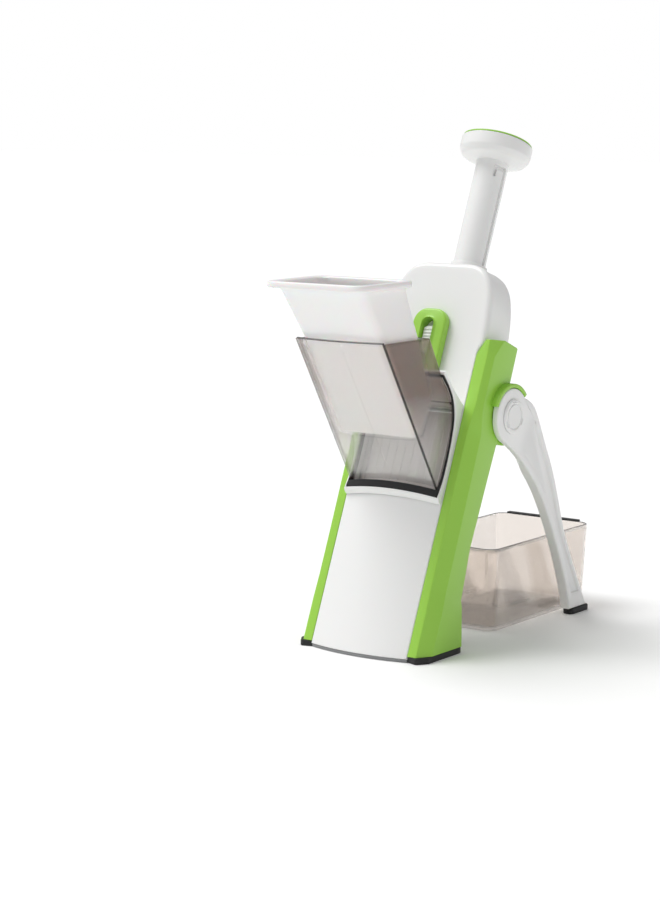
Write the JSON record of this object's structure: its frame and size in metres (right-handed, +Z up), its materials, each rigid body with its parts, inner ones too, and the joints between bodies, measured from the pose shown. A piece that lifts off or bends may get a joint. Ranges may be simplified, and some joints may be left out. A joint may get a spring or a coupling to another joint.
{
  "type": "mandoline_slicer",
  "caption": "Upright push-down mandoline slicer with a lime green stand, white housing, smoky food chute, pusher cup, plunger and catch tray",
  "frame": {"origin": "On the floor, midway between the left and right sides and midway between the front of the pusher's flange and the rear of the catch tray", "axes": "X to the slicer's right as seen from its front, Y to the rear, Z up"},
  "size_m": [0.1364, 0.3384, 0.4054],
  "materials": {
    "white_plastic": "glossy white moulded ABS",
    "green_plastic": "satin lime green moulded ABS",
    "black_rubber": "matt black soft rubber",
    "grey_plastic": "matt grey moulded plastic",
    "smoke_clear_plastic": "smoky brown clear polycarbonate",
    "clear_plastic": "clear styrene acrylonitrile",
    "frosted_plastic": "milky translucent polypropylene",
    "stainless_steel": "stainless steel, ground blade and drawn spring wire"
  },
  "bodies": {
    "stand": {"front_housing": "white_plastic", "rear_housing": "white_plastic", "housing_screw_1": "stainless_steel", "housing_screw_2": "stainless_steel", "housing_screw_3": "stainless_steel", "housing_screw_4": "stainless_steel", "rail_left": "green_plastic", "rail_right": "green_plastic", "rail_foot_left": "black_rubber", "rail_foot_right": "black_rubber", "base_strip": "grey_plastic", "chute_collar": "white_plastic", "chute_gasket": "black_rubber", "latch_frame": "green_plastic", "shaft_bushing": "grey_plastic", "spring_post_left": "stainless_steel", "spring_post_right": "stainless_steel", "leg_pivot_pin_left": "stainless_steel", "leg_pivot_pin_right": "stainless_steel", "release_spring": "white_plastic", "return_spring_left": "stainless_steel", "return_spring_right": "stainless_steel"},
    "carriage": {"blade_carriage": "white_plastic", "main_blade": "stainless_steel", "blade_clamp": "stainless_steel", "blade_screw_left": "stainless_steel", "blade_screw_right": "stainless_steel"},
    "plunger": {"plunger_shaft": "white_plastic", "plunger_knob": "white_plastic", "knob_cap": "green_plastic"},
    "thickness_stop": {"thickness_plate": "white_plastic", "adjuster_post": "stainless_steel"},
    "dial": {"thickness_dial": "green_plastic"},
    "comb": {"julienne_comb": "stainless_steel", "comb_lever": "green_plastic"},
    "left_leg": {"leg_left": "white_plastic", "leg_foot_left": "black_rubber", "leg_pivot_cap_left": "white_plastic"},
    "right_leg": {"leg_right": "white_plastic", "leg_foot_right": "black_rubber", "leg_pivot_cap_right": "white_plastic"},
    "feed_chute": {"chute": "smoke_clear_plastic"},
    "pusher": {"food_pusher": "frosted_plastic", "pusher_grip_plate": "stainless_steel"},
    "release": {"release_slider": "white_plastic"},
    "tray": {"catch_tray": "clear_plastic", "tray_grip": "black_rubber"}
  },
  "joints": [
    {"name": "carriage_press", "type": "slide", "parent": "stand", "child": "carriage", "axis": [0, -0.3843, -0.9232], "range_m": [0, 0.082], "stiffness_N_per_m": 60, "springref_m": -0.25, "deforming": ["return_spring_left", "return_spring_right"]},
    {"name": "plunger_twist", "type": "hinge", "parent": "carriage", "child": "plunger", "pos_m": [0, 0.03287, 0.26559], "axis": [0, 0.3843, 0.9232], "range_deg": [0, 25]},
    {"name": "thickness_set", "type": "slide", "parent": "carriage", "child": "thickness_stop", "axis": [0, 0.9232, -0.3843], "range_m": [0, 0.008]},
    {"name": "dial_turn", "type": "hinge", "parent": "carriage", "child": "dial", "pos_m": [0, -0.03387, 0.11464], "axis": [0, 0.9232, -0.3843], "range_deg": [0, 300]},
    {"name": "comb_turn", "type": "hinge", "parent": "carriage", "child": "comb", "pos_m": [0, -0.0172, 0.18461], "axis": [1, 0, 0], "range_deg": [0, 90]},
    {"name": "leg_left_fold", "type": "hinge", "parent": "stand", "child": "left_leg", "pos_m": [-0.063, 0.00945, 0.1803], "axis": [-1, 0, 0], "range_deg": [0, 40]},
    {"name": "leg_right_fold", "type": "hinge", "parent": "stand", "child": "right_leg", "pos_m": [0.063, 0.00945, 0.1803], "axis": [-1, 0, 0], "range_deg": [0, 40]},
    {"name": "chute_lift", "type": "slide", "parent": "stand", "child": "feed_chute", "axis": [0, -0.9232, 0.3843], "range_m": [0, 0.09]},
    {"name": "pusher_slide", "type": "slide", "parent": "feed_chute", "child": "pusher", "axis": [0, -0.5168, 0.8561], "range_m": [-0.015, 0.1]},
    {"name": "slider_release", "type": "slide", "parent": "stand", "child": "release", "axis": [0, 0.3843, 0.9232], "range_m": [0, 0.005], "stiffness_N_per_m": 200, "springref_m": -0.005, "deforming": ["release_spring"]},
    {"name": "tray_pull", "type": "slide", "parent": "stand", "child": "tray", "axis": [0, 1, 0], "range_m": [0, 0.12]}
  ],
  "couplings": [
    {"joint": "dial_turn", "follows": "thickness_set", "rad_per_m": 653.84}
  ]
}
